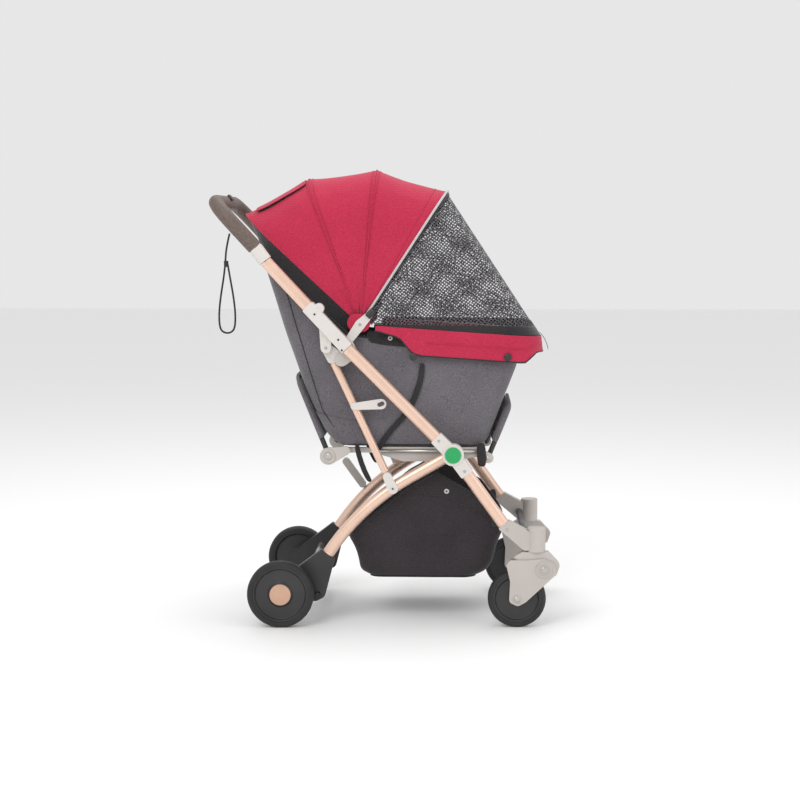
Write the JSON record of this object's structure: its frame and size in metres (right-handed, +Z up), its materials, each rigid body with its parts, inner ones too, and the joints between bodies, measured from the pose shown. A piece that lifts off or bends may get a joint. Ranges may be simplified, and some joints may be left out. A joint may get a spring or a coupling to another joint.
{
  "type": "pet stroller",
  "caption": "Folding pet stroller with an oval-tube frame, fabric cabin, crimson canopy with mesh front, under-basket and swivel front wheels.",
  "frame": {"origin": "on the ground under the middle of the object's box", "axes": "+X forward, +Y to the stroller's left, +Z up"},
  "size_m": [0.8099, 0.506, 1.0517],
  "materials": {
    "rose_gold": "satin metallic lacquer",
    "cap_gold": "satin metallic",
    "white_plastic": "fine moulded texture",
    "warm_grey_plastic": "fine moulded texture",
    "black_plastic": "fine moulded texture",
    "tyre": "matte foam rubber",
    "steel": "brushed",
    "handle_aluminium": "satin",
    "brown_grip": "grained and stitched",
    "green_cap": "smooth",
    "black_steel": "powder coat",
    "heather_fabric": "heather weave",
    "mat_fabric": "quilted weave",
    "basket_fabric": "plain weave",
    "crimson_fabric": "plain weave",
    "mesh_fabric": "open mesh",
    "webbing_fabric": "ribbed webbing"
  },
  "bodies": {
    "chassis": {"basket": "basket_fabric", "cabin": "heather_fabric", "canopy_brackets": "white_plastic", "canopy_rear_bow": "black_steel", "canopy_rear_panel": "crimson_fabric", "floor_mat": "mat_fabric", "fold_plates": "warm_grey_plastic", "frame_screws": "steel", "front_cross_bar": "black_plastic", "front_leg_left": "rose_gold", "front_leg_right": "rose_gold", "hoop_hinges": "warm_grey_plastic", "hub_caps": "green_cap", "hub_fittings": "white_plastic", "lower_tube_left": "rose_gold", "lower_tube_right": "rose_gold", "pivot_pins": "steel", "seat_base": "warm_grey_plastic", "swivel_housings": "warm_grey_plastic", "webbing": "webbing_fabric"},
    "handle": {"joint_housings": "white_plastic", "upper_tubes": "rose_gold", "strut_pivot_pins": "steel", "handle_collars": "white_plastic", "handle_bar": "handle_aluminium", "handle_grip": "brown_grip", "wrist_strap": "webbing_fabric"},
    "struts": {"struts": "rose_gold", "strut_ends": "white_plastic"},
    "storage_hook": {"storage_hook": "white_plastic"},
    "fold_button": {"fold_button": "black_plastic"},
    "rear_legs": {"rear_leg_right": "rose_gold", "rear_leg_left": "rose_gold", "rear_leg_eyes": "steel", "rear_brackets": "black_plastic", "rear_axles": "steel", "fold_catch_post": "warm_grey_plastic"},
    "brake": {"brake_pedal": "black_plastic"},
    "canopy_mid": {"canopy_mid_bow": "black_steel", "canopy_mid_panel": "crimson_fabric"},
    "canopy_front": {"canopy_front_bow": "black_steel", "canopy_front_panel": "crimson_fabric", "mesh_front": "mesh_fabric", "canopy_skirt": "crimson_fabric"},
    "rear_hoop": {"rear_hoop": "black_steel"},
    "front_hoop": {"front_hoop": "black_steel"},
    "rear_wheel_right": {"rear_tyre_right": "tyre", "rear_rim_right": "black_plastic", "rear_cap_right": "cap_gold"},
    "caster_right": {"caster_yoke_right": "warm_grey_plastic"},
    "suspension_right": {"fork_arm_right": "warm_grey_plastic"},
    "front_wheel_right": {"front_tyre_right": "tyre", "front_rim_right": "black_plastic"},
    "rear_wheel_left": {"rear_tyre_left": "tyre", "rear_rim_left": "black_plastic", "rear_cap_left": "cap_gold"},
    "caster_left": {"caster_yoke_left": "warm_grey_plastic"},
    "suspension_left": {"fork_arm_left": "warm_grey_plastic"},
    "front_wheel_left": {"front_tyre_left": "tyre", "front_rim_left": "black_plastic"}
  },
  "joints": [
    {"name": "handle_fold", "type": "hinge", "parent": "chassis", "child": "handle", "pos_m": [-0.099, 0, 0.617], "axis": [0, -1, 0], "range_deg": [0, 110]},
    {"name": "strut_swing", "type": "hinge", "parent": "handle", "child": "struts", "pos_m": [-0.134, 0, 0.644], "axis": [0, -1, 0], "range_deg": [-105.65, 0]},
    {"name": "rear_leg_fold", "type": "hinge", "parent": "chassis", "child": "rear_legs", "pos_m": [0.158, 0, 0.4], "axis": [0, -1, 0], "range_deg": [0, 27.54]},
    {"name": "hook_swing", "type": "hinge", "parent": "struts", "child": "storage_hook", "pos_m": [-0.0703, -0.1971, 0.5082], "axis": [0, -1, 0], "range_deg": [-60, 0]},
    {"name": "button_slide", "type": "slide", "parent": "handle", "child": "fold_button", "axis": [0, 1, 0], "range_m": [0, 0.008], "stiffness_N_per_m": 300, "springref_m": -0.002},
    {"name": "brake_press", "type": "hinge", "parent": "rear_legs", "child": "brake", "pos_m": [-0.156, 0, 0.069], "axis": [0, -1, 0], "range_deg": [0, 16]},
    {"name": "canopy_mid_fold", "type": "hinge", "parent": "chassis", "child": "canopy_mid", "pos_m": [-0.057, 0, 0.696], "axis": [0, -1, 0], "range_deg": [0, 22.5]},
    {"name": "canopy_front_fold", "type": "hinge", "parent": "canopy_mid", "child": "canopy_front", "pos_m": [-0.057, 0, 0.696], "axis": [0, -1, 0], "range_deg": [0, 24]},
    {"name": "rear_hoop_fold", "type": "hinge", "parent": "chassis", "child": "rear_hoop", "pos_m": [-0.133, 0, 0.387], "axis": [0, -1, 0], "range_deg": [0, 61]},
    {"name": "front_hoop_fold", "type": "hinge", "parent": "chassis", "child": "front_hoop", "pos_m": [0.24, 0, 0.385], "axis": [0, 1, 0], "range_deg": [0, 66]},
    {"name": "rear_wheel_spin_right", "type": "hinge", "parent": "rear_legs", "child": "rear_wheel_right", "pos_m": [-0.239, -0.237, 0.077], "axis": [0, 1, 0], "continuous": true},
    {"name": "caster_swivel_right", "type": "hinge", "parent": "chassis", "child": "caster_right", "pos_m": [0.35, -0.217, 0.177], "axis": [0, 0, 1], "continuous": true},
    {"name": "suspension_right", "type": "hinge", "parent": "caster_right", "child": "suspension_right", "pos_m": [0.368, -0.217, 0.136], "axis": [0, 1, 0], "range_deg": [0, 5], "stiffness_Nm_per_rad": 30, "springref_deg": -3.44},
    {"name": "front_wheel_spin_right", "type": "hinge", "parent": "suspension_right", "child": "front_wheel_right", "pos_m": [0.306, -0.217, 0.067], "axis": [0, 1, 0], "continuous": true},
    {"name": "rear_wheel_spin_left", "type": "hinge", "parent": "rear_legs", "child": "rear_wheel_left", "pos_m": [-0.239, 0.237, 0.077], "axis": [0, 1, 0], "continuous": true},
    {"name": "caster_swivel_left", "type": "hinge", "parent": "chassis", "child": "caster_left", "pos_m": [0.35, 0.217, 0.177], "axis": [0, 0, 1], "continuous": true},
    {"name": "suspension_left", "type": "hinge", "parent": "caster_left", "child": "suspension_left", "pos_m": [0.368, 0.217, 0.136], "axis": [0, 1, 0], "range_deg": [0, 5], "stiffness_Nm_per_rad": 30, "springref_deg": -3.44},
    {"name": "front_wheel_spin_left", "type": "hinge", "parent": "suspension_left", "child": "front_wheel_left", "pos_m": [0.306, 0.217, 0.067], "axis": [0, 1, 0], "continuous": true}
  ],
  "couplings": [
    {"joint": "strut_swing", "follows": "handle_fold", "ratio": -0.9514},
    {"joint": "rear_leg_fold", "follows": "handle_fold", "ratio": 0.2413},
    {"joint": "canopy_front_fold", "follows": "canopy_mid_fold", "ratio": 1.0444}
  ]
}
